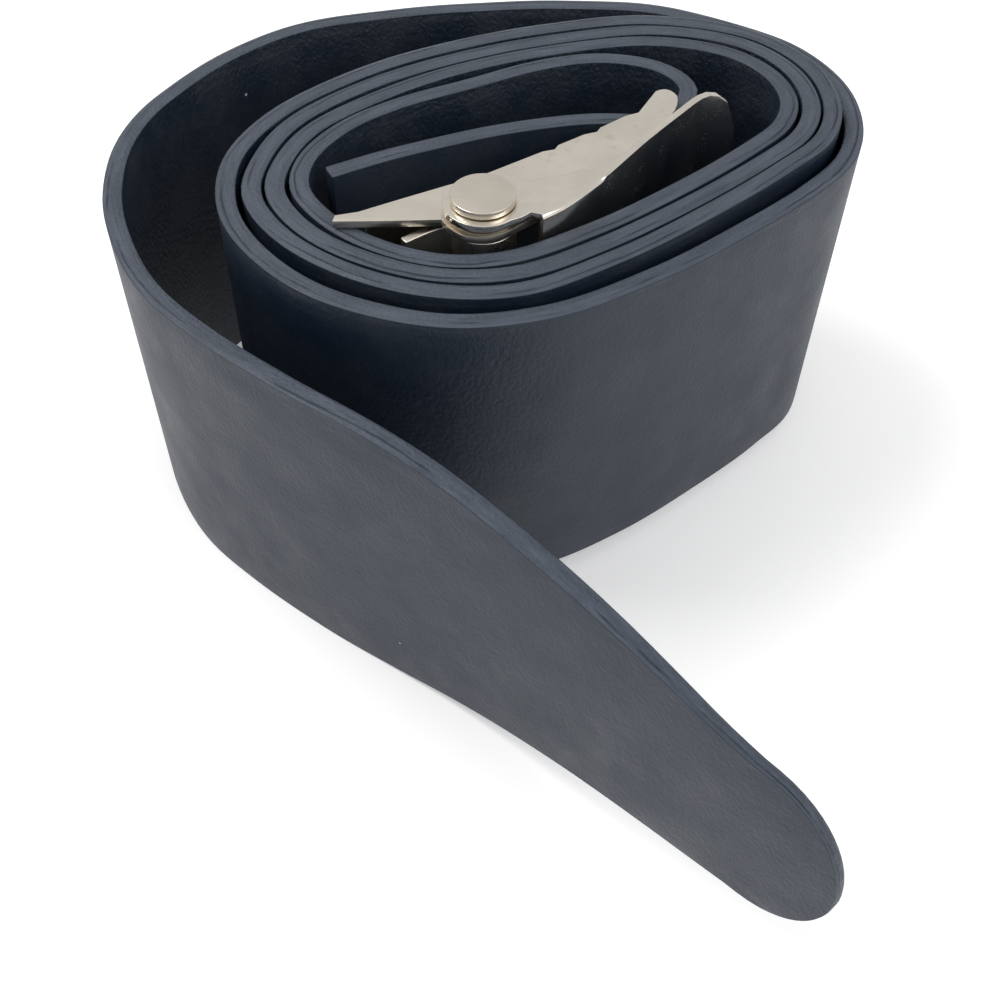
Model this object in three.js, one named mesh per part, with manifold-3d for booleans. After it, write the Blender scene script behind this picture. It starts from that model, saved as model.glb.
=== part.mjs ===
// A coiled rubber weight belt with a steel quick-release buckle in its core.
// Millimetres, +Z up. The coil stands on its edge, so its strap walls are upright.
import * as THREE from 'three';
import { mergeVertices } from 'three/addons/utils/BufferGeometryUtils.js';
import Module from 'manifold-3d';

const wasm = await Module();
wasm.setup();

// ---- driving sizes -------------------------------------------------------
const STRAP_WIDTH = 50;
const STRAP_THICK = 2.6;
const RISE = 4.3; // the buckle is wider than the strap, so the inner turns ride this high
const TAPER_LENGTH = 78; // the free end narrows over this length
const TAPER_EASE = 0.3; // the first part of the taper, where it sets in gradually
const TAPER_SLOPE = 0.205;
const TIP_ROUND = 12; // the last millimetres close in an ellipse
const TIP_THIN = 1.1; // and the strap thins by this much, on its inner side, over TIP_SKIVE
const TIP_SKIVE = 45;
const SETTLED = 150; // up to here from the tip the strap stands on the floor,
const LIFTED = 385; // and from here inwards it rides at its full rise
const STATION = 3.2; // spacing of the strap's cross-sections

const SHEET = 1.0; // buckle sheet steel
const PLAY = 0.2; // gap between stacked pieces
const WASHER = 0.4;
const HEAD = 1.0;
const PIN_R = 2.5;
const HOLE_R = 2.7;
const HEAD_R = 4.2;
const EAR_R = 5.2;
const BARREL_R = 4.3;
const BAR_R = 1.3;
const MID = RISE + STRAP_WIDTH / 2; // middle height of the buckle
const CHEEK_IN = STRAP_WIDTH / 2 + 0.3; // inner face of a cheek, from the middle
const CHEEK_OUT = CHEEK_IN + SHEET;
const FLANGE_IN = CHEEK_OUT + PLAY + WASHER + PLAY;
const FLANGE_OUT = FLANGE_IN + SHEET;
const HEAD_IN = FLANGE_OUT + PLAY;

// The pin's place in the part's frame. All plan points below are measured from the pin.
const PIN = new THREE.Vector3(-0.51, 8.39, 0);

// ---- the strap's centre line, from the folded inner end out to the free tip
const FOLD = [[-20.5, 10], [-11, 15], [2.5, 20.4], [13.5, 23]];
const AROUND_BAR = [[20.5, 23.2], [24, 22.9], [26.7, 24.5], [27.8, 27.6], [28.7, 31]];
const TURN_1 = [[27.3, 34.4], [23.5, 37.4], [16.5, 38.7], [7.5, 36.6], [-3, 31.1], [-12.8, 25.9],
  [-19.5, 20.4], [-23.7, 13.5], [-24.2, 7], [-20.7, 1], [-14.3, -4.3], [-5.5, -7.6],
  [3.5, -6.9], [14, -1.2], [25, 7], [36.4, 17.2], [41, 22.6]];
const TURN_2 = [[42.7, 28.6], [40.8, 35.4], [35, 41], [23, 43.5], [8, 40.1], [-5.5, 34.4],
  [-16.5, 27.1], [-24, 19.5], [-26.9, 12.6], [-27.3, 6], [-23.3, -1], [-15.8, -6.9],
  [-5.6, -10.5], [4.3, -9.9], [15.3, -4], [26.6, 4.5], [38.3, 14.8], [43.6, 20.6]];
const TURN_3 = [[45.7, 27.4], [44, 36.2], [37.3, 43.4], [24, 46.5], [8, 43.2], [-6.3, 37.4],
  [-18.3, 29.9], [-26.8, 20.8], [-29.9, 12.6], [-30.2, 5], [-25.4, -3.1], [-17, -9.6],
  [-5.6, -13.4], [5.2, -12.8], [16.4, -6.8], [28, 1.9], [39.9, 12.4], [46.3, 19.4]];
const TURN_4 = [[48.7, 27.4], [46.9, 37.2], [39.3, 45.7], [25, 49.5], [8, 46.3], [-7.2, 40.5],
  [-20, 32.5], [-29.6, 22.6], [-33.7, 12.6], [-32.9, 2], [-27.8, -6.9], [-18.7, -14.5],
  [-5, -18.5], [8, -16.5], [21, -9.3], [33, 0.2], [43.3, 9.6], [49.3, 17.2]];
const TURN_5 = [[51.9, 26.5], [50.6, 37.4], [43, 47.8], [28.5, 54.8], [11, 56.8], [-2, 56.2],
  [-14, 54.4], [-26, 51.4], [-35, 45.8], [-42, 38.9], [-47.6, 30], [-50.4, 20],
  [-49.8, 10], [-46.6, 1], [-41, -8], [-33, -15.6], [-22, -24], [-11, -31.3]];
const FREE_END = [[-2, -37.6], [10.6, -48.2], [24, -61], [39.6, -76.9]];

// The coil is a little wider at its top. Each pair is a distance from the free tip and how far
// the strap's upper edge stands outwards there, or its lower edge inwards.
const FLARE_TOP = [[0, 0], [20, 1.5], [60, 1.8], [90, 1.6], [130, 0.3], [150, 1.2], [175, 2.9],
  [225, 2.9], [250, 0.8], [266, 0]];
const TUCK_BASE = [[266, 0], [280, 0.8], [292, 1.4], [350, 1.4], [372, 0.9], [392, 0]];

// ---- helpers -------------------------------------------------------------
function plan(points) {
  return points.map(([x, y]) => new THREE.Vector3(x, y, 0));
}

/** Points along a smooth line through `points`, about `step` apart. */
function smooth(points, step) {
  const curve = new THREE.CatmullRomCurve3(plan(points), false, 'centripetal');
  curve.arcLengthDivisions = 2000;
  return curve.getSpacedPoints(Math.ceil(curve.getLength() / step));
}

/** The value at `at` of a smooth line through the pairs [place, value], held at its ends. */
function eased(pairs, at) {
  const next = pairs.findIndex(([place]) => place > at);
  if (next <= 0) {
    return next === 0 ? pairs[0][1] : pairs[pairs.length - 1][1];
  }
  const [[from, low], [to, high]] = [pairs[next - 1], pairs[next]];
  return THREE.MathUtils.lerp(low, high, THREE.MathUtils.smoothstep(at, from, to));
}

/**
 * A closed upright band along `line`. span(t) gives its low and high edge at t = 0..1, and
 * lean(t) how far each of the two is moved to the line's left. thin(t) is taken off the
 * thickness on the left.
 */
function band(line, thick, span, lean = () => [0, 0], thin = () => 0) {
  const corners = [];
  line.forEach((point, i) => {
    const before = line[Math.max(i - 1, 0)];
    const after = line[Math.min(i + 1, line.length - 1)];
    const along = after.clone().sub(before).normalize();
    const side = new THREE.Vector3(-along.y, along.x, 0);
    const [low, high] = span(i / (line.length - 1));
    const [lowShift, highShift] = lean(i / (line.length - 1));
    const right = thick / 2;
    const left = right - thin(i / (line.length - 1));
    for (const [shift, z] of [[lowShift + left, low], [highShift + left, high],
      [highShift - right, high], [lowShift - right, low]]) {
      corners.push(point.x + shift * side.x, point.y + shift * side.y, z);
    }
  });
  const faces = [];
  const quad = (a, b, c, d) => faces.push(a, b, c, a, c, d);
  for (let i = 0; i < line.length - 1; i += 1) {
    for (let k = 0; k < 4; k += 1) {
      const next = (k + 1) % 4;
      quad(4 * i + k, 4 * i + next, 4 * i + 4 + next, 4 * i + 4 + k);
    }
  }
  const last = 4 * (line.length - 1);
  quad(3, 2, 1, 0);
  quad(last, last + 1, last + 2, last + 3);
  const geometry = new THREE.BufferGeometry();
  geometry.setAttribute('position', new THREE.Float32BufferAttribute(corners, 3));
  geometry.setIndex(faces);
  return geometry;
}

/** A flat sheet with the outline `shape`, from height low to height high. */
function sheet(shape, low, high, curveSegments = 6) {
  const geometry = new THREE.ExtrudeGeometry(shape, {
    depth: high - low,
    bevelEnabled: false,
    curveSegments,
  });
  return geometry.translate(0, 0, low);
}

/** A ring or disc about the point (x, y), from height low to height high. */
function round(radius, low, high, bore = 0, x = 0, y = 0) {
  const shape = new THREE.Shape().absarc(x, y, radius, 0, 2 * Math.PI, false);
  if (bore > 0) {
    shape.holes.push(new THREE.Path().absarc(x, y, bore, 0, 2 * Math.PI, true));
  }
  return sheet(shape, low, high, 20);
}

function solid(geometry) {
  const plain = geometry.clone();
  plain.deleteAttribute('normal');
  plain.deleteAttribute('uv');
  const welded = mergeVertices(plain, 1e-4);
  return new wasm.Manifold(new wasm.Mesh({
    numProp: 3,
    vertProperties: new Float32Array(welded.attributes.position.array),
    triVerts: new Uint32Array(welded.index.array),
  }));
}

function geometryOf(manifold) {
  const mesh = manifold.getMesh();
  const geometry = new THREE.BufferGeometry();
  geometry.setAttribute('position', new THREE.BufferAttribute(mesh.vertProperties, 3));
  geometry.setIndex(new THREE.BufferAttribute(mesh.triVerts, 1));
  return geometry;
}

/** One body from several overlapping ones, less the `cuts`. */
function joined(parts, cuts = []) {
  let body = parts.map(solid).reduce((a, b) => a.add(b));
  cuts.map(solid).forEach((cut) => {
    body = body.subtract(cut);
  });
  return geometryOf(body);
}

/** The same geometry at the top and, mirrored in height about MID, at the bottom. */
function mirrored(make) {
  const top = make(1);
  const bottom = make(-1);
  return [top, bottom];
}

/** Heights of a layer that lies between `inner` and `outer` from the middle. */
function layer(sign, inner, outer) {
  return sign > 0 ? [MID + inner, MID + outer] : [MID - outer, MID - inner];
}

const group = new THREE.Group();
group.name = 'dive_weight_belt';

function place(name, geometry, colour, metal) {
  const flat = geometry.index ? geometry.toNonIndexed() : geometry;
  flat.computeVertexNormals();
  flat.translate(PIN.x, PIN.y, PIN.z);
  const material = new THREE.MeshStandardMaterial({
    color: colour,
    metalness: metal ? 1 : 0,
    roughness: metal ? 0.35 : 0.7,
  });
  material.name = `${name}_finish`;
  const mesh = new THREE.Mesh(flat, material);
  mesh.name = name;
  group.add(mesh);
}

// ---- strap ---------------------------------------------------------------
const strapLine = smooth(
  [...FOLD, ...AROUND_BAR, ...TURN_1, ...TURN_2, ...TURN_3, ...TURN_4, ...TURN_5, ...FREE_END],
  STATION,
);
const strapLength = STATION * strapLine.length;

/** The strap's low and high edge: raised inside the coil, tapered at the free tip. */
function strapSpan(t) {
  const toTip = (1 - t) * strapLength;
  const settle = THREE.MathUtils.smoothstep(toTip, SETTLED, LIFTED);
  const low = RISE * settle;
  let half = STRAP_WIDTH / 2;
  if (toTip < TAPER_LENGTH) {
    const done = 1 - Math.max(toTip, TIP_ROUND) / TAPER_LENGTH;
    const share = done < TAPER_EASE ? done ** 2 / (2 * TAPER_EASE) : done - TAPER_EASE / 2;
    half -= TAPER_SLOPE * TAPER_LENGTH * share;
  }
  if (toTip < TIP_ROUND) {
    half *= Math.sqrt(1 - (1 - toTip / TIP_ROUND) ** 2);
  }
  half = Math.max(half, 0.6);
  const middle = low + STRAP_WIDTH / 2;
  return [middle - half, middle + half];
}

/** The coil winds to the left, so a shift to the left is inwards. */
function strapLean(t) {
  const toTip = (1 - t) * strapLength;
  return [eased(TUCK_BASE, toTip), -eased(FLARE_TOP, toTip)];
}

function strapThin(t) {
  return TIP_THIN * (1 - THREE.MathUtils.smoothstep((1 - t) * strapLength, 4, TIP_SKIVE));
}

const strap = band(strapLine, STRAP_THICK, strapSpan, strapLean, strapThin);
place('rubber_strap', strap, 0x24303c, false);

// ---- buckle frame: two cheeks, the base plate between them ----------------
// Shallow saw teeth on the rear edge: where each one's back levels out, and its point.
const BARBS = [[[7.7, 13.3], [9.3, 13.8]], [[13.3, 17.3], [15.1, 18]], [[19.1, 21.8], [21, 22.7]]];
const BARB_STEP = [0.5, 1];

function cheekShape() {
  const shape = new THREE.Shape();
  shape.moveTo(-18.9, -2.2);
  shape.lineTo(-18.7, -1);
  shape.lineTo(-15.8, -0.2);
  shape.quadraticCurveTo(-8, 4, -0.5, 7.7);
  for (const [level, point] of BARBS) {
    shape.lineTo(...level);
    shape.lineTo(...point);
    shape.lineTo(point[0] + BARB_STEP[0], point[1] + BARB_STEP[1]);
  }
  shape.lineTo(23.7, 28);
  shape.quadraticCurveTo(25.6, 29.4, 26.6, 26.9);
  shape.quadraticCurveTo(26.9, 23.6, 23.6, 19.4);
  shape.lineTo(17.3, 11.2);
  shape.quadraticCurveTo(12.6, 3.8, 4.6, -2.4);
  shape.quadraticCurveTo(2, -5.4, -2, -4.8);
  shape.quadraticCurveTo(-4, -4, -5.2, -1.5);
  shape.quadraticCurveTo(-11, -2, -18.9, -2.2);
  shape.holes.push(new THREE.Path().absarc(0, 0, HOLE_R, 0, 2 * Math.PI, false));
  return shape;
}

const baseLine = smooth([[-15, 0], [-8.3, 3.4], [-0.8, 7], [4.2, 9.9]], 3);
const basePlate = band(baseLine, SHEET, () => [MID - CHEEK_IN - 0.2, MID + CHEEK_IN + 0.2]);
const cheeks = mirrored((sign) => sheet(cheekShape(), ...layer(sign, CHEEK_IN, CHEEK_OUT)));
place('buckle_frame', joined([...cheeks, basePlate]), 0xc8c3b9, true);

const END_BAR = [23.8, 26.2];
const barHeights = [MID - CHEEK_IN + 0.1, MID + CHEEK_IN - 0.1];
place('end_bar', round(BAR_R, ...barHeights, 0, ...END_BAR), 0xc8c3b9, true);

// ---- lever: two ears outside the cheeks and the web that joins them --------
const WEB = [[7.3, -2.5], [9.8, -0.6], [15.2, 5.6], [20.8, 13.4], [26.4, 20.5], [29.6, 24.2],
  [32, 25.6], [35, 26.2]];
const GRIP_CORNER = 6;

function earShape() {
  const shape = new THREE.Shape();
  shape.moveTo(7.3, -2.5);
  shape.lineTo(9.8, -0.6);
  shape.quadraticCurveTo(12.7, 2.1, 16.5, 7.4);
  shape.lineTo(15.9, 7.8);
  shape.quadraticCurveTo(11, 6, 3.6, 3.75);
  shape.absarc(0, 0, EAR_R, 0.26 * Math.PI, 1.74 * Math.PI, false);
  shape.lineTo(4.9, -3.1);
  shape.lineTo(6, -2.1);
  shape.closePath();
  shape.holes.push(new THREE.Path().absarc(0, 0, HOLE_R, 0, 2 * Math.PI, true));
  return shape;
}

/** The web's height, with the grip's corners rounded off. */
function webSpan(length) {
  return (t) => {
    const toEnd = (1 - t) * length;
    let half = FLANGE_OUT;
    if (toEnd < GRIP_CORNER) {
      const inset = GRIP_CORNER - toEnd;
      half -= GRIP_CORNER - Math.sqrt(GRIP_CORNER ** 2 - inset ** 2);
    }
    return [MID - half, MID + half];
  };
}

const webLine = smooth(WEB, 1.6);
const web = band(webLine, SHEET, webSpan(1.6 * webLine.length));
const ears = mirrored((sign) => sheet(earShape(), ...layer(sign, FLANGE_IN, FLANGE_OUT), 10));
place('lever', joined([web, ...ears]), 0xc8c3b9, true);

// ---- pin with its two heads, and the washers between ear and cheek ---------
const heads = mirrored((sign) => round(HEAD_R, ...layer(sign, HEAD_IN, HEAD_IN + HEAD)));
const shank = round(PIN_R, MID - HEAD_IN - 0.1, MID + HEAD_IN + 0.1);
place('pivot_pin', joined([shank, ...heads]), 0xd0ccc3, true);

const washers = mirrored((sign) => {
  const [low, high] = layer(sign, CHEEK_OUT + PLAY, CHEEK_OUT + PLAY + WASHER);
  return round(BARREL_R, low, high, HOLE_R);
});
place('washer_upper', washers[0], 0xb8b4ac, true);
place('washer_lower', washers[1], 0xb8b4ac, true);

// ---- jaw: a barrel on the pin with the tongue that presses the strap -------
const jawHalf = CHEEK_IN - 0.6;
const barrel = round(BARREL_R, MID - jawHalf, MID + jawHalf);
const tongueLine = smooth([[-3.3, -0.4], [-5, -0.4], [-7.6, -1.9], [-10, -3.7]], 1.6);
const tongue = band(tongueLine, 1.2, () => [MID - jawHalf, MID + jawHalf]);
const jawBore = round(HOLE_R + 0.1, MID - jawHalf - 1, MID + jawHalf + 1);
place('jaw', joined([barrel, tongue], [jawBore]), 0xb8b4ac, true);

export default group;
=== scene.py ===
"""A rubber weight belt, coiled on its edge round a stainless lever buckle, on a pale floor."""

import logging
import math
from dataclasses import dataclass, field
from enum import Enum

import bpy
import numpy as np
from mathutils import Euler, Matrix, Vector


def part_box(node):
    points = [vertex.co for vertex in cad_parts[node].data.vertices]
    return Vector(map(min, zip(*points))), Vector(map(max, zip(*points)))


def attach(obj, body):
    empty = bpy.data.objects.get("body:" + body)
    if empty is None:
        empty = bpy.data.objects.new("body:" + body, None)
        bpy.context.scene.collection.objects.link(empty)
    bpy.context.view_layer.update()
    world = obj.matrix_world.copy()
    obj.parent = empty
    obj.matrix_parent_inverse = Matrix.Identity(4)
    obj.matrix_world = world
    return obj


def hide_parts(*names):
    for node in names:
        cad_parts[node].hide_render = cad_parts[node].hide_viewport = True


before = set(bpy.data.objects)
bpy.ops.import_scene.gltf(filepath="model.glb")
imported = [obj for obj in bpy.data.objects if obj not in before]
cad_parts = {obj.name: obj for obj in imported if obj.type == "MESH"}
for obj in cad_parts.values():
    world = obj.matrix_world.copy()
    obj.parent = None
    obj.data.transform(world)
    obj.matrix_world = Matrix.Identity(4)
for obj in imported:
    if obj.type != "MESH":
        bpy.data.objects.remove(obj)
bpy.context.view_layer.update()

MM = 0.001
FLANGE_OUT = 28.1  # the lever's outer faces, from its middle, in millimetres
PIN_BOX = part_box("pivot_pin")
PIN = (Vector(PIN_BOX[0]) + Vector(PIN_BOX[1])) / 2
log = logging.getLogger("weight_belt")


# ---------------------------------------------------------------------------
# Small helpers shared by every class
# ---------------------------------------------------------------------------


def deselect_all() -> None:
    """Leave nothing selected and nothing in edit mode."""
    if bpy.context.object and bpy.context.object.mode != "OBJECT":
        bpy.ops.object.mode_set(mode="OBJECT")
    bpy.ops.object.select_all(action="DESELECT")


def only(piece: bpy.types.Object) -> bpy.types.Object:
    """Make one piece the active and the only selected object.

    Args:
        piece: the object to select.

    Returns:
        The same object.
    """
    deselect_all()
    piece.select_set(True)
    bpy.context.view_layer.objects.active = piece
    return piece


def apply_modifier(piece: bpy.types.Object, kind: str, **settings: object) -> None:
    """Add a modifier with these settings and apply it.

    Args:
        piece: the object it works on.
        kind: Blender's name of the modifier type.
        **settings: attributes of the modifier and their values.
    """
    only(piece)
    modifier = piece.modifiers.new(kind.title(), kind)
    for name, value in settings.items():
        setattr(modifier, name, value)
    bpy.ops.object.modifier_apply(modifier=modifier.name)


def copy_of_node(node: str, name: str) -> bpy.types.Object:
    """Copy a CAD node as a clean mesh: doubles merged and flat faces dissolved.

    Args:
        node: the CAD node's name.
        name: the new piece's name.

    Returns:
        The new piece, in the same place.
    """
    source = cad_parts[node]
    piece = bpy.data.objects.new(name, source.data.copy())
    bpy.context.scene.collection.objects.link(piece)
    piece.data.materials.clear()
    only(piece)
    bpy.ops.object.mode_set(mode="EDIT")
    bpy.ops.mesh.select_all(action="SELECT")
    bpy.ops.mesh.remove_doubles(threshold=0.004 * MM)
    bpy.ops.mesh.customdata_custom_splitnormals_clear()
    bpy.ops.mesh.dissolve_limited(angle_limit=math.radians(0.5))
    bpy.ops.mesh.normals_make_consistent(inside=False)
    bpy.ops.object.mode_set(mode="OBJECT")
    return piece


def smooth(piece: bpy.types.Object, degrees: float) -> None:
    """Shade a piece smooth, with its edges sharper than `degrees` kept crisp."""
    only(piece)
    bpy.ops.object.shade_smooth_by_angle(angle=math.radians(degrees))


# ---------------------------------------------------------------------------
# Finishes
# ---------------------------------------------------------------------------


class NodeBench:
    """A material's node tree, with short ways to add and join its nodes."""

    def __init__(self, name: str) -> None:
        """Start a material of this name with only a Principled shader and its output."""
        self.material = bpy.data.materials.new(name)
        self.material.use_nodes = True
        self.tree = self.material.node_tree
        self.shader = self.tree.nodes["Principled BSDF"]

    def node(self, kind: str, **values: object) -> bpy.types.ShaderNode:
        """Add a node.

        Args:
            kind: the node's type, without the ShaderNode prefix.
            **values: attributes to set, or inputs, where no attribute has the name.

        Returns:
            The new node.
        """
        made = self.tree.nodes.new("ShaderNode" + kind)
        for name, value in values.items():
            if hasattr(made, name):
                setattr(made, name, value)
            else:
                made.inputs[name.replace("_", " ")].default_value = value
        return made

    def join(self, out: bpy.types.NodeSocket, into: bpy.types.NodeSocket) -> None:
        """Link one socket to another."""
        self.tree.links.new(out, into)

    def object_place(self) -> bpy.types.NodeSocket:
        """The point's place in the piece's own coordinates."""
        return self.node("TexCoord").outputs["Object"]

    def attribute(self, name: str) -> bpy.types.NodeSocket:
        """The vector that the mesh attribute `name` holds."""
        return self.node("Attribute", attribute_name=name).outputs["Vector"]

    def noise(
        self, place: bpy.types.NodeSocket, scale: float, detail: float = 4.0, rough: float = 0.55
    ) -> bpy.types.NodeSocket:
        """A noise pattern from 0 to 1.

        Args:
            place: the coordinates it follows.
            scale: cells per metre.
            detail: octaves of finer noise.
            rough: how strong the finer octaves are.

        Returns:
            The pattern's value.
        """
        made = self.node("TexNoise", Scale=scale, Detail=detail, Roughness=rough)
        self.join(place, made.inputs["Vector"])
        return made.outputs["Fac"]

    def cells(self, place: bpy.types.NodeSocket, scale: float) -> bpy.types.NodeSocket:
        """The distance to the nearest cell centre of a Voronoi pattern."""
        made = self.node("TexVoronoi", Scale=scale)
        self.join(place, made.inputs["Vector"])
        return made.outputs["Distance"]

    def stretched(
        self, place: bpy.types.NodeSocket, scale: tuple[float, float, float], turn: float = 0.0
    ) -> bpy.types.NodeSocket:
        """Coordinates scaled by axis, and turned about Z by `turn` radians first."""
        made = self.node("Mapping")
        made.inputs["Scale"].default_value = scale
        made.inputs["Rotation"].default_value = (0.0, 0.0, turn)
        self.join(place, made.inputs["Vector"])
        return made.outputs["Vector"]

    def ramp(
        self, value: bpy.types.NodeSocket, low: float, high: float, to_low: float, to_high: float
    ) -> bpy.types.NodeSocket:
        """Map a value from the range low..high to to_low..to_high, held at its ends."""
        made = self.node("MapRange")
        for name, number in (
            ("From Min", low),
            ("From Max", high),
            ("To Min", to_low),
            ("To Max", to_high),
        ):
            made.inputs[name].default_value = number
        self.join(value, made.inputs["Value"])
        return made.outputs["Result"]

    def mix(
        self,
        share: bpy.types.NodeSocket | float,
        first: bpy.types.NodeSocket | tuple[float, float, float],
        second: bpy.types.NodeSocket | tuple[float, float, float],
    ) -> bpy.types.NodeSocket:
        """Blend two colours by `share`, each a socket or a colour."""
        made = self.node("Mix", data_type="RGBA")
        for index, value in ((0, share), (6, first), (7, second)):
            socket = made.inputs[index]
            if isinstance(value, bpy.types.NodeSocket):
                self.join(value, socket)
            elif isinstance(value, tuple):
                socket.default_value = (*value, 1.0)
            else:
                socket.default_value = value
        return made.outputs[2]

    def calculate(
        self,
        kind: str,
        first: bpy.types.NodeSocket | float,
        second: bpy.types.NodeSocket | float = 0.0,
    ) -> bpy.types.NodeSocket:
        """The result of a Math node of this kind on two values."""
        made = self.node("Math", operation=kind)
        for socket, value in zip(made.inputs, (first, second)):
            if isinstance(value, bpy.types.NodeSocket):
                self.join(value, socket)
            else:
                socket.default_value = value
        return made.outputs["Value"]

    def bump(
        self,
        height: bpy.types.NodeSocket,
        depth: float,
        after: bpy.types.NodeSocket | None = None,
    ) -> bpy.types.NodeSocket:
        """Raise the surface by height times `depth` metres, on top of an earlier bump."""
        made = self.node("Bump", Distance=depth, Strength=1.0)
        self.join(height, made.inputs["Height"])
        if after is not None:
            self.join(after, made.inputs["Normal"])
        return made.outputs["Normal"]


@dataclass(frozen=True)
class StrapRubber:
    """Moulded rubber: dark navy, with fine pebbled grain, chalky bloom and pale flecks.

    Colours are linear. The strap's depth runs from its outer face (negative) to its inner one.
    """

    deep: tuple[float, float, float] = (0.004, 0.012, 0.028)
    worn: tuple[float, float, float] = (0.012, 0.020, 0.033)
    bloom: tuple[float, float, float] = (0.045, 0.052, 0.066)
    cut: tuple[float, float, float] = (0.070, 0.086, 0.116)
    fleck: tuple[float, float, float] = (0.50, 0.50, 0.48)
    roughness: tuple[float, float] = (0.44, 0.60)
    rim: float = 0.3  # the narrow edges' reach down the faces, in millimetres

    def make(self) -> bpy.types.Material:
        """Build the material.

        Returns:
            The material, on the strap's own laid-flat coordinates (length, depth, width).
        """
        bench = NodeBench("strap_rubber_finish")
        flat = bench.attribute("laid_flat")
        cloudy = bench.noise(flat, 38.0, 5.0, 0.6)
        smudge = bench.noise(flat, 120.0, 6.0, 0.65)
        rubbed = bench.ramp(cloudy, 0.42, 0.72, 0.0, 1.0)
        colour = bench.mix(rubbed, self.deep, self.worn)
        # Chalky bloom lies in soft patches, mostly on the inner side (positive depth).
        split = bench.node("SeparateXYZ")
        bench.join(flat, split.inputs[0])
        depth = split.outputs["Y"]
        inner = bench.ramp(depth, -0.9 * MM, 0.9 * MM, 0.0, 1.0)
        patch = bench.ramp(smudge, 0.45, 0.78, 0.0, 0.55)
        patch = bench.calculate("MULTIPLY", patch, bench.ramp(inner, 0.0, 1.0, 0.30, 1.0))
        colour = bench.mix(patch, colour, self.bloom)
        # The narrow edges are scuffed paler than the faces.
        rim = bench.node("SeparateXYZ")
        bench.join(bench.attribute("rim_depth"), rim.inputs[0])
        below = rim.outputs["X"]
        inside = bench.calculate("LESS_THAN", bench.calculate("ABSOLUTE", depth), 1.22 * MM)
        near = bench.ramp(below, self.rim * MM, 2 * self.rim * MM, 1.0, 0.0)
        on_rim = bench.calculate("MULTIPLY", inside, near)
        streak = bench.noise(bench.stretched(flat, (0.12, 1.0, 1.0)), 900.0, 5.0, 0.7)
        edge = bench.calculate("MULTIPLY", on_rim, bench.ramp(streak, 0.35, 0.65, 0.45, 1.0))
        colour = bench.mix(edge, colour, self.cut)
        # A wandering parting line runs along them, broken here and there, as a shallow groove; its
        # dark colour is painted shade of that groove.
        drift = bench.noise(bench.stretched(flat, (1.0, 0.0, 0.0)), 55.0, 3.0, 0.6)
        off_line = bench.calculate("ADD", depth, bench.ramp(drift, 0.2, 0.8, 0.05 * MM, 1.05 * MM))
        line = bench.ramp(bench.calculate("ABSOLUTE", off_line), 0.05 * MM, 0.17 * MM, 1.0, 0.0)
        broken = bench.ramp(bench.noise(flat, 70.0, 3.0, 0.6), 0.42, 0.56, 0.0, 1.0)
        line = bench.calculate("MULTIPLY", bench.calculate("MULTIPLY", line, broken), on_rim)
        # Painted shade: the parting line's groove is darkened back towards the deep navy.
        colour = bench.mix(bench.calculate("MULTIPLY", line, 0.8), colour, self.deep)
        # Beside the upper and lower edges both faces are scraped paler in streaks.
        scrape = bench.noise(bench.stretched(flat, (0.10, 1.0, 1.0)), 420.0, 6.0, 0.7)
        scrape = bench.ramp(scrape, 0.50, 0.68, 0.0, 0.75)
        fading = bench.ramp(below, 0.4 * MM, 3.2 * MM, 1.0, 0.0)
        scrape = bench.calculate("MULTIPLY", scrape, fading)
        past_rim = bench.calculate("GREATER_THAN", below, self.rim * MM)
        scrape = bench.calculate("MULTIPLY", scrape, past_rim)
        colour = bench.mix(scrape, colour, self.bloom)
        # A few white flecks of dust are pressed into the grain.
        speck = bench.cells(flat, 130.0)
        dust = bench.calculate("LESS_THAN", speck, 0.035)
        few = bench.calculate("GREATER_THAN", bench.noise(flat, 41.0, 0.0), 0.60)
        dust = bench.calculate("MULTIPLY", dust, few)
        colour = bench.mix(dust, colour, self.fleck)
        bench.join(colour, bench.shader.inputs["Base Color"])
        gloss = bench.ramp(smudge, 0.3, 0.75, *self.roughness)
        bench.join(gloss, bench.shader.inputs["Roughness"])
        # Pebbled grain, strongest on the inner side, and shallow drag marks on the edges.
        pebbles = bench.noise(bench.stretched(flat, (1.0, 1.0, 0.75)), 1700.0, 3.0, 0.6)
        pebbles = bench.calculate("MULTIPLY", pebbles, bench.ramp(inner, 0.0, 1.0, 0.35, 1.0))
        relief = bench.bump(pebbles, 0.34 * MM)
        waves = bench.noise(flat, 90.0, 2.0, 0.4)
        relief = bench.bump(waves, 0.35 * MM, relief)
        grooves = bench.noise(bench.stretched(flat, (0.03, 1.0, 0.2)), 1400.0, 3.0, 0.6)
        relief = bench.bump(bench.calculate("MULTIPLY", grooves, edge), 0.35 * MM, relief)
        relief = bench.bump(bench.calculate("MULTIPLY", line, -1.0), 0.12 * MM, relief)
        bench.join(relief, bench.shader.inputs["Normal"])
        bench.shader.inputs["IOR"].default_value = 1.5
        bench.shader.inputs["Specular IOR Level"].default_value = 0.5
        return bench.material


class Steel(Enum):
    """The buckle's steel finishes: name, colour, roughness, scratches, grime and dents."""

    FRAME = ("frame_steel_finish", (0.87, 0.81, 0.71), 0.27, 0.5, 0.5, 0.42)
    LEVER = ("lever_steel_finish", (0.88, 0.82, 0.725), 0.17, 0.12, 0.0, 0.14)
    PIN = ("pin_steel_finish", (0.83, 0.76, 0.655), 0.24, 0.35, 0.35, 0.35)
    JAW = ("jaw_steel_finish", (0.76, 0.71, 0.63), 0.28, 0.5, 0.4, 0.25)


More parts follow.
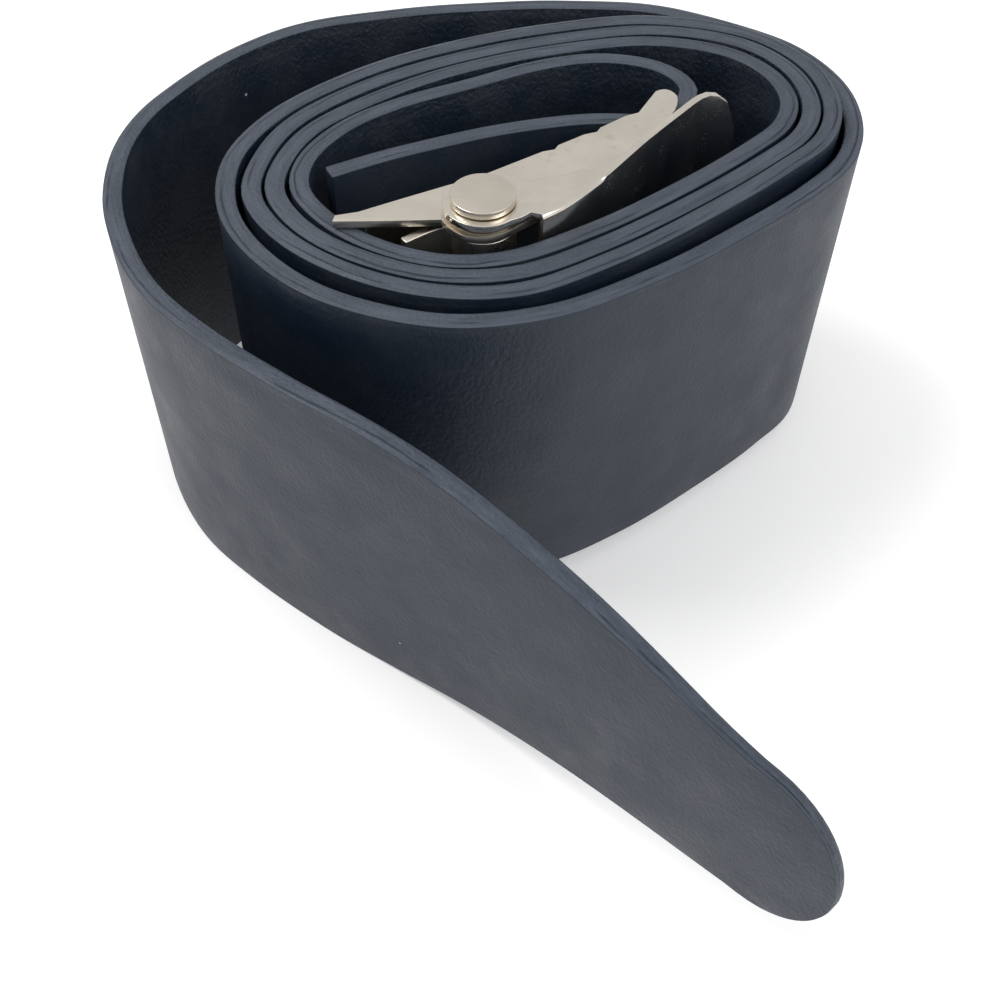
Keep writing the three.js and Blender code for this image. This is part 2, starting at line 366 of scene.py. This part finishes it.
@dataclass(frozen=True)
class StainlessSheet:
    """Pale, warm stainless sheet: satin, with rolling lines, smudges and fine scratches."""

    kind: Steel

    def make(self) -> bpy.types.Material:
        """Build the material.

        Returns:
            The material, on object coordinates.
        """
        name, colour, rough, scratch, grime_share, dent = self.kind.value
        bench = NodeBench(name)
        place = bench.object_place()
        cloud = bench.noise(place, 160.0, 5.0, 0.6)
        dark = tuple(0.84 * part for part in colour)
        tint = bench.mix(bench.ramp(cloud, 0.35, 0.7, 0.0, 1.0), colour, dark)
        grime = bench.ramp(bench.noise(place, 300.0, 4.0, 0.6), 0.58, 0.80, 0.0, grime_share)
        tint = bench.mix(grime, tint, (0.40, 0.35, 0.30))
        bench.join(tint, bench.shader.inputs["Base Color"])
        rolled = bench.noise(bench.stretched(place, (0.05, 1.0, 1.0), 0.6), 5200.0, 4.0, 0.6)
        crossed = bench.noise(bench.stretched(place, (1.0, 0.03, 1.0), 0.2), 3600.0, 3.0, 0.5)
        gloss = bench.ramp(cloud, 0.3, 0.75, rough - 0.05, rough + 0.12)
        gloss = bench.calculate("ADD", gloss, bench.ramp(rolled, 0.35, 0.7, -0.03, 0.07))
        bench.join(gloss, bench.shader.inputs["Roughness"])
        dents = bench.noise(place, 130.0, 1.0, 0.4)
        relief = bench.bump(dents, dent * MM)
        relief = bench.bump(rolled, scratch * 0.012 * MM, relief)
        relief = bench.bump(bench.ramp(crossed, 0.62, 0.72, 0.0, 1.0), scratch * 0.01 * MM, relief)
        bench.join(relief, bench.shader.inputs["Normal"])
        bench.shader.inputs["Metallic"].default_value = 1.0
        return bench.material


@dataclass(frozen=True)
class PaleFloor:
    """Plain white studio paper."""

    colour: tuple[float, float, float] = (0.93, 0.93, 0.93)
    glow: float = 0.27

    def make(self) -> bpy.types.Material:
        """Build the material.

        Returns:
            The matte paper material.
        """
        bench = NodeBench("studio_paper")
        bench.shader.inputs["Base Color"].default_value = (*self.colour, 1.0)
        bench.shader.inputs["Roughness"].default_value = 0.9
        bench.shader.inputs["Specular IOR Level"].default_value = 0.1
        bench.shader.inputs["Emission Color"].default_value = (1.0, 1.0, 1.0, 1.0)
        bench.shader.inputs["Emission Strength"].default_value = self.glow
        return bench.material


# ---------------------------------------------------------------------------
# The strap
# ---------------------------------------------------------------------------

Plan = list[tuple[float, float]]


@dataclass
class RubberStrap:
    """The belt's one strap, laid out flat first and then wound along its route."""

    width: float = 50.0
    thick: float = 2.6
    rise: float = 4.3
    taper_length: float = 78.0
    taper_ease: float = 0.3
    taper_slope: float = 0.205
    tip_round: float = 12.0
    tip_thin: float = 1.1
    tip_skive: float = 45.0
    settled: float = 150.0
    lifted: float = 385.0
    step: float = 1.5
    edge_round: float = 0.42
    crown: float = 0.14
    crown_width: float = 0.62
    flare_top: Plan = field(
        default_factory=lambda: [
            (0, 0), (20, 1.5), (60, 1.8), (90, 1.6), (130, 0.3), (150, 1.2), (175, 2.9),
            (225, 2.9), (250, 0.8), (266, 0),
        ]
    )
    tuck_base: Plan = field(
        default_factory=lambda: [
            (266, 0), (280, 0.8), (292, 1.4), (350, 1.4), (372, 0.9), (392, 0),
        ]
    )
    fold: Plan = field(
        default_factory=lambda: [
            (-20.5, 10), (-11, 15), (2.5, 20.4), (13.5, 23),
            (20.5, 23.2), (24, 22.9), (26.7, 24.5), (27.8, 27.6), (28.7, 31),
        ]
    )
    turns: list[Plan] = field(
        default_factory=lambda: [
            [(27.3, 34.4), (23.5, 37.4), (16.5, 38.7), (7.5, 36.6), (-3, 31.1), (-12.8, 25.9),
             (-19.5, 20.4), (-23.7, 13.5), (-24.2, 7), (-20.7, 1), (-14.3, -4.3), (-5.5, -7.6),
             (3.5, -6.9), (14, -1.2), (25, 7), (36.4, 17.2), (41, 22.6)],
            [(42.7, 28.6), (40.8, 35.4), (35, 41), (23, 43.5), (8, 40.1), (-5.5, 34.4),
             (-16.5, 27.1), (-24, 19.5), (-26.9, 12.6), (-27.3, 6), (-23.3, -1), (-15.8, -6.9),
             (-5.6, -10.5), (4.3, -9.9), (15.3, -4), (26.6, 4.5), (38.3, 14.8), (43.6, 20.6)],
            [(45.7, 27.4), (44, 36.2), (37.3, 43.4), (24, 46.5), (8, 43.2), (-6.3, 37.4),
             (-18.3, 29.9), (-26.8, 20.8), (-29.9, 12.6), (-30.2, 5), (-25.4, -3.1), (-17, -9.6),
             (-5.6, -13.4), (5.2, -12.8), (16.4, -6.8), (28, 1.9), (39.9, 12.4), (46.3, 19.4)],
            [(48.7, 27.4), (46.9, 37.2), (39.3, 45.7), (25, 49.5), (8, 46.3), (-7.2, 40.5),
             (-20, 32.5), (-29.6, 22.6), (-33.7, 12.6), (-32.9, 2), (-27.8, -6.9), (-18.7, -14.5),
             (-5, -18.5), (8, -16.5), (21, -9.3), (33, 0.2), (43.3, 9.6), (49.3, 17.2)],
            [(51.9, 26.5), (50.6, 37.4), (43, 47.8), (28.5, 54.8), (11, 56.8), (-2, 56.2),
             (-14, 54.4), (-26, 51.4), (-35, 45.8), (-42, 38.9), (-47.6, 30), (-50.4, 20),
             (-49.8, 10), (-46.6, 1), (-41, -8), (-33, -15.6), (-22, -24), (-11, -31.3)],
        ]
    )
    free_end: Plan = field(
        default_factory=lambda: [(-2, -37.6), (10.6, -48.2), (24, -61), (39.6, -76.9)]
    )

    def route(self) -> np.ndarray:
        """The strap's centre line in plan, every `step` millimetres.

        Returns:
            An array of points, from the folded end to the free tip, in millimetres.
        """
        knots = [*self.fold, *(point for turn in self.turns for point in turn), *self.free_end]
        points = np.array(knots, float) + np.array(PIN[:2]) / MM
        points = np.vstack([2 * points[0] - points[1], points, 2 * points[-1] - points[-2]])
        dense = [
            self.arc_between(*points[i : i + 4], share)
            for i in range(len(points) - 3)
            for share in np.linspace(0, 1, 24, endpoint=False)
        ]
        dense.append(points[-2])
        line = np.array(dense)
        run = np.r_[0, np.cumsum(np.linalg.norm(np.diff(line, axis=0), axis=1))]
        even = np.linspace(0, run[-1], int(math.ceil(run[-1] / self.step)) + 1)
        return np.stack([np.interp(even, run, line[:, axis]) for axis in (0, 1)], axis=1)

    @staticmethod
    def arc_between(
        before: np.ndarray, start: np.ndarray, end: np.ndarray, after: np.ndarray, share: float
    ) -> np.ndarray:
        """A point of the centripetal spline between `start` and `end`.

        Args:
            before: the knot before start.
            start: where the stretch starts.
            end: where it ends.
            after: the knot after end.
            share: how far along the stretch, from 0 to 1.

        Returns:
            The point.
        """
        spans = [
            max(float(np.linalg.norm(b - a)) ** 0.5, 1e-6)
            for a, b in ((before, start), (start, end), (end, after))
        ]
        leave = ((start - before) / spans[0] - (end - before) / (spans[0] + spans[1])
                 + (end - start) / spans[1]) * spans[1]
        arrive = ((end - start) / spans[1] - (after - start) / (spans[1] + spans[2])
                  + (after - end) / spans[2]) * spans[1]
        square, cube = share**2, share**3
        return (
            (2 * cube - 3 * square + 1) * start
            + (cube - 2 * square + share) * leave
            + (3 * square - 2 * cube) * end
            + (cube - square) * arrive
        )

    def half_width(self, to_tip: float) -> float:
        """Half the strap's width at this distance from the free tip, in millimetres."""
        half = self.width / 2
        if to_tip < self.taper_length:
            done = 1 - max(to_tip, self.tip_round) / self.taper_length
            if done < self.taper_ease:
                share = done**2 / (2 * self.taper_ease)
            else:
                share = done - self.taper_ease / 2
            half -= self.taper_slope * self.taper_length * share
        if to_tip < self.tip_round:
            half *= math.sqrt(max(1 - (1 - to_tip / self.tip_round) ** 2, 0))
        return max(half, 0.8)

    @staticmethod
    def eased(pairs: Plan, place: float) -> float:
        """The value at a place of a smooth line through (place, value) pairs, held at its ends.

        Args:
            pairs: the places, in rising order, each with its value.
            place: where the value is wanted.

        Returns:
            The value there.
        """
        places, values = zip(*pairs)
        if place <= places[0]:
            return values[0]
        if place >= places[-1]:
            return values[-1]
        after = next(index for index, start in enumerate(places) if start > place)
        share = (place - places[after - 1]) / (places[after] - places[after - 1])
        share = share * share * (3 - 2 * share)
        return values[after - 1] * (1 - share) + values[after] * share

    def lean(self, to_tip: float, level: float) -> float:
        """How far the strap stands inwards of its upright, in millimetres.

        Args:
            to_tip: the distance from the free tip.
            level: the height on the strap, from 0 at its lower edge to 1 at its upper one.

        Returns:
            The shift towards the middle of the coil.
        """
        top = -self.eased(self.flare_top, to_tip)
        base = self.eased(self.tuck_base, to_tip)
        return base + (top - base) * level

    def settle(self, to_tip: float) -> float:
        """How far the strap's lower edge is raised inside the coil, in millimetres."""
        return self.eased([(self.settled, 0), (self.lifted, self.rise)], to_tip)

    def lay_flat(self, length: float) -> bpy.types.Object:
        """Model the strap laid out straight: a grid with its taper, thickness and soft edges.

        Args:
            length: the strap's whole length in millimetres.

        Returns:
            The straight strap, along +X from the origin, its width along Z.
        """
        deselect_all()
        bpy.ops.mesh.primitive_grid_add(
            x_subdivisions=int(round(length / self.step)),
            y_subdivisions=6,
            size=1.0,
            location=(0, 0, 0),
            rotation=(math.pi / 2, 0, 0),
        )
        piece = bpy.context.object
        piece.name = "strap"
        bpy.ops.object.transform_apply(location=False, rotation=True, scale=False)
        # The sections crowd together towards the tip, where the outline turns.
        for vertex in piece.data.vertices:
            along = (vertex.co.x + 0.5) * length
            to_tip = length - along
            if to_tip < 3 * self.tip_round:
                share = to_tip / (3 * self.tip_round)
                to_tip *= 0.35 * share + 0.65 * share**2
                along = length - to_tip
            half = self.half_width(to_tip) - self.crown
            edge = vertex.co.z * 2 * half
            vertex.co = Vector((along, 0, edge + self.unevenness(along, vertex.co.z))) * MM
        apply_modifier(piece, "SOLIDIFY", thickness=self.thick * MM, offset=0.0)
        self.crown_the_rim(piece)
        apply_modifier(
            piece,
            "BEVEL",
            width=self.edge_round * MM,
            segments=3,
            limit_method="ANGLE",
            angle_limit=math.radians(50),
        )
        flat = piece.data.attributes.new("laid_flat", "FLOAT_VECTOR", "POINT")
        places = np.array([vertex.co for vertex in piece.data.vertices], np.float32)
        flat.data.foreach_set("vector", places.ravel())
        rim = piece.data.attributes.new("rim_depth", "FLOAT_VECTOR", "POINT")
        for vertex, depth in zip(piece.data.vertices, rim.data):
            to_tip = length - vertex.co.x / MM
            depth.vector = ((self.half_width(to_tip) - abs(vertex.co.z) / MM) * MM, 0, 0)
            level = vertex.co.z / MM / self.width + 0.5
            outside = -self.thick / 2 * MM
            vertex.co.y = outside + (vertex.co.y - outside) * self.thinness(to_tip)
            vertex.co.y += self.lean(to_tip, min(max(level, 0), 1)) * MM
        return piece

    def thinness(self, to_tip: float) -> float:
        """The share of the strap's thickness that is left at this distance from the tip."""
        return 1 - self.eased([(4, self.tip_thin), (self.tip_skive, 0)], to_tip) / self.thick

    @staticmethod
    def unevenness(along: float, level: float) -> float:
        """The slight waviness of the trimmed upper edge, in millimetres.

        Args:
            along: the distance from the folded end.
            level: the place on the strap's width, from -0.5 to 0.5.

        Returns:
            The shift along the strap's width.
        """
        wave = math.sin(along / 13.0)
        wave += 0.6 * math.sin(along / 5.3 + 1)
        wave += 0.4 * math.sin(along / 2.9)
        return 0.05 * wave * max(level, 0) * 2

    def crown_the_rim(self, piece: bpy.types.Object) -> None:
        """Raise a low moulding ridge along the middle of the strap's narrow edges."""
        only(piece)
        bpy.ops.object.mode_set(mode="EDIT")
        bpy.ops.mesh.select_all(action="DESELECT")
        bpy.ops.object.mode_set(mode="OBJECT")
        for face in piece.data.polygons:
            face.select = abs(face.normal.y) < 0.5
        bpy.ops.object.mode_set(mode="EDIT")
        bpy.ops.mesh.select_mode(type="FACE")
        bpy.ops.mesh.inset(thickness=self.crown_width * MM, depth=self.crown * MM)
        bpy.ops.object.mode_set(mode="OBJECT")

    def wind(self, piece: bpy.types.Object, line: np.ndarray, length: float) -> None:
        """Wind the straight strap along its route.

        Args:
            piece: the straight strap.
            line: the route's points in plan, in millimetres.
            length: the route's length in millimetres.
        """
        curve = bpy.data.curves.new("route", "CURVE")
        curve.dimensions = "3D"
        curve.twist_mode = "Z_UP"
        spline = curve.splines.new("POLY")
        spline.points.add(len(line) - 1)
        for index, (point, knot) in enumerate(zip(spline.points, line)):
            to_tip = length * (1 - index / (len(line) - 1))
            height = self.settle(to_tip) + self.width / 2
            point.co = (knot[0] * MM, knot[1] * MM, height * MM, 1.0)
        guide = bpy.data.objects.new("route", curve)
        bpy.context.scene.collection.objects.link(guide)
        apply_modifier(piece, "CURVE", object=guide, deform_axis="POS_X")
        bpy.data.objects.remove(guide)

    def build(self) -> bpy.types.Object:
        """Make the strap, dress it and let it stand for its CAD node.

        Returns:
            The finished piece.
        """
        line = self.route()
        length = float(np.linalg.norm(np.diff(line, axis=0), axis=1).sum())
        piece = self.lay_flat(length)
        self.wind(piece, line, length)
        smooth(piece, 40)
        piece.data.materials.append(StrapRubber().make())
        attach(piece, "strap")
        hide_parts("rubber_strap")
        log.info("strap: %.0f mm long, %d faces", length, len(piece.data.polygons))
        return piece


# ---------------------------------------------------------------------------
# The buckle
# ---------------------------------------------------------------------------


@dataclass
class SteelPiece:
    """A buckle part that keeps its node's shape, with its stamped edges rounded."""

    node: str
    body: str
    finish: Steel
    slot: str
    edge: float = 0.22
    segments: int = 3
    angle: float = 35.0

    def shape(self) -> bpy.types.Object:
        """Copy the node and round its edges.

        Returns:
            The new piece, without its finish.
        """
        piece = copy_of_node(self.node, "steel_" + self.node)
        self.round_edges(piece)
        return piece

    def round_edges(self, piece: bpy.types.Object) -> None:
        """Round the piece's stamped edges by `edge` millimetres."""
        apply_modifier(
            piece,
            "BEVEL",
            width=self.edge * MM,
            segments=self.segments,
            limit_method="ANGLE",
            angle_limit=math.radians(self.angle),
        )

    def build(self) -> bpy.types.Object:
        """Make the piece, dress it and let it stand for its CAD node.

        Returns:
            The finished piece.
        """
        piece = self.shape()
        smooth(piece, 30)
        piece.data.materials.append(StainlessSheet(self.finish).make())
        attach(piece, self.body)
        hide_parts(self.node)
        log.info("%s: %d faces", piece.name, len(piece.data.polygons))
        return piece


@dataclass
class FoldedLever(SteelPiece):
    """The lever, whose ears are folded off the web in a rounded bend."""

    bend: float = 0.7  # less than the sheet's thickness
    bend_segments: int = 6
    bend_from: float = 6.9  # along the lever from the pin
    bend_to: float = 15.5
    merge: float = 0.02
    flat_angle: float = 2.0

    def shape(self) -> bpy.types.Object:
        """Copy the lever, round the two bends and then all the stamped edges.

        Returns:
            The new piece, without its finish.
        """
        plain = copy_of_node(self.node, "steel_" + self.node)
        only(plain)
        bpy.ops.object.mode_set(mode="EDIT")
        bpy.ops.mesh.select_all(action="SELECT")
        bpy.ops.mesh.remove_doubles(threshold=self.merge * MM)
        bpy.ops.mesh.dissolve_limited(angle_limit=math.radians(self.flat_angle))
        bpy.ops.object.mode_set(mode="OBJECT")
        self.select_bends(plain)
        log.info("lever bends: %d edges", sum(edge.select for edge in plain.data.edges))
        bpy.ops.object.mode_set(mode="EDIT")
        bpy.ops.mesh.select_mode(type="EDGE")
        bpy.ops.mesh.bevel(
            offset=self.bend * MM, segments=self.bend_segments, affect="EDGES", clamp_overlap=False
        )
        bpy.ops.object.mode_set(mode="OBJECT")
        self.round_edges(plain)
        return plain

    def select_bends(self, piece: bpy.types.Object) -> None:
        """Select the outer corner between each ear and the web."""
        only(piece)
        bpy.ops.object.mode_set(mode="EDIT")
        bpy.ops.mesh.select_mode(type="EDGE")
        bpy.ops.mesh.select_all(action="DESELECT")
        bpy.ops.object.mode_set(mode="OBJECT")
        mesh = piece.data
        sides: dict[tuple[int, int], list[Vector]] = {}
        for face in mesh.polygons:
            for key in face.edge_keys:
                sides.setdefault(key, []).append(face.normal.copy())
        for edge in mesh.edges:
            normals = sides.get(edge.key, [])
            level = any(abs(normal.z) > 0.9 for normal in normals)
            outer = any(normal.x > 0.2 and normal.y < -0.2 for normal in normals)
            middle = sum((mesh.vertices[index].co for index in edge.vertices), Vector()) / 2
            along = (middle.x - PIN.x) / MM
            within = self.bend_from < along < self.bend_to
            on_face = abs(abs(middle.z - PIN.z) - FLANGE_OUT * MM) < 0.05 * MM
            edge.select = level and outer and within and on_face


@dataclass
class Buckle:
    """The quick-release buckle, part by part."""

    parts: list[SteelPiece] = field(
        default_factory=lambda: [
            SteelPiece("buckle_frame", "frame", Steel.FRAME, "frame_steel", 0.2),
            SteelPiece("end_bar", "frame", Steel.FRAME, "frame_steel", 0.2),
            FoldedLever("lever", "lever_body", Steel.LEVER, "lever_steel", 0.22),
            SteelPiece("pivot_pin", "frame", Steel.PIN, "pin_steel", 0.25),
            SteelPiece("washer_upper", "frame", Steel.PIN, "pin_steel", 0.08),
            SteelPiece("washer_lower", "frame", Steel.PIN, "pin_steel", 0.08),
            SteelPiece("jaw", "jaw_body", Steel.JAW, "jaw_steel", 0.25),
        ]
    )

    def build(self) -> list[bpy.types.Object]:
        """Make every part of the buckle.

        Returns:
            The finished pieces.
        """
        return [part.build() for part in self.parts]


# ---------------------------------------------------------------------------
# The studio
# ---------------------------------------------------------------------------


@dataclass
class Studio:
    """Pale floor, soft light and the camera."""

    camera_from_pin: tuple[float, float] = (2.66, -139.5)
    camera_height: float = 162.0
    camera_tilt: float = 40.7
    camera_roll: float = 0.8
    lens: float = 48.78
    floor_size: float = 12.0
    sky_strength: float = 0.62

    def camera(self) -> None:
        """Place the camera above and in front of the coil, looking down on it."""
        data = bpy.data.cameras.new("camera")
        data.lens = self.lens
        data.sensor_width = 36.0
        data.clip_start = 0.005
        camera = bpy.data.objects.new("camera", data)
        bpy.context.scene.collection.objects.link(camera)
        turn = Euler((math.radians(self.camera_tilt), 0, 0)).to_matrix().to_4x4()
        roll = Matrix.Rotation(math.radians(self.camera_roll), 4, "Z")
        x, y = (pin + offset * MM for pin, offset in zip(PIN, self.camera_from_pin))
        place = Matrix.Translation((x, y, self.camera_height * MM))
        camera.matrix_world = place @ turn @ roll
        bpy.context.scene.camera = camera

    def floor(self) -> None:
        """Lay the pale floor under the belt."""
        deselect_all()
        bpy.ops.mesh.primitive_plane_add(size=self.floor_size, location=(0, 0, 0))
        floor = bpy.context.object
        floor.name = "floor"
        floor.data.materials.append(PaleFloor().make())

    def lights(self) -> None:
        """Light the scene from a pale sky and large soft panels."""
        world = bpy.data.worlds.new("studio_sky")
        world.use_nodes = True
        background = world.node_tree.nodes["Background"]
        background.inputs["Color"].default_value = (1.0, 1.0, 1.0, 1.0)
        background.inputs["Strength"].default_value = self.sky_strength
        bpy.context.scene.world = world
        self.panel("key", (-0.62, 0.2, 1.05), 0.55, 6.5, (1.0, 0.99, 0.98))
        self.panel("fill", (0.9, -0.6, 1.0), 0.9, 5.5, (0.97, 0.98, 1.0))

    def panel(
        self,
        name: str,
        place: tuple[float, float, float],
        size: float,
        watts: float,
        colour: tuple[float, float, float],
    ) -> None:
        """Hang one square soft light that faces the belt.

        Args:
            name: the light's name.
            place: where it hangs, in metres.
            size: the side of its square, in metres.
            watts: its power.
            colour: its colour.
        """
        data = bpy.data.lights.new(name, "AREA")
        data.shape = "SQUARE"
        data.size = size
        data.energy = watts
        data.color = colour
        light = bpy.data.objects.new(name, data)
        bpy.context.scene.collection.objects.link(light)
        light.location = place
        aim = Vector((0, 0, 0.025)) - Vector(place)
        light.rotation_euler = aim.to_track_quat("-Z", "Y").to_euler()

    def build(self) -> None:
        """Set up the camera, floor and lights, and a plain colour transform."""
        self.camera()
        self.floor()
        self.lights()
        bpy.context.scene.view_settings.view_transform = "Standard"


def main() -> None:
    """Build the studio and the belt, in order."""
    logging.basicConfig(level=logging.INFO, format="%(name)s: %(message)s")
    Studio().build()
    RubberStrap().build()
    Buckle().build()


if __name__ == "__main__":
    main()
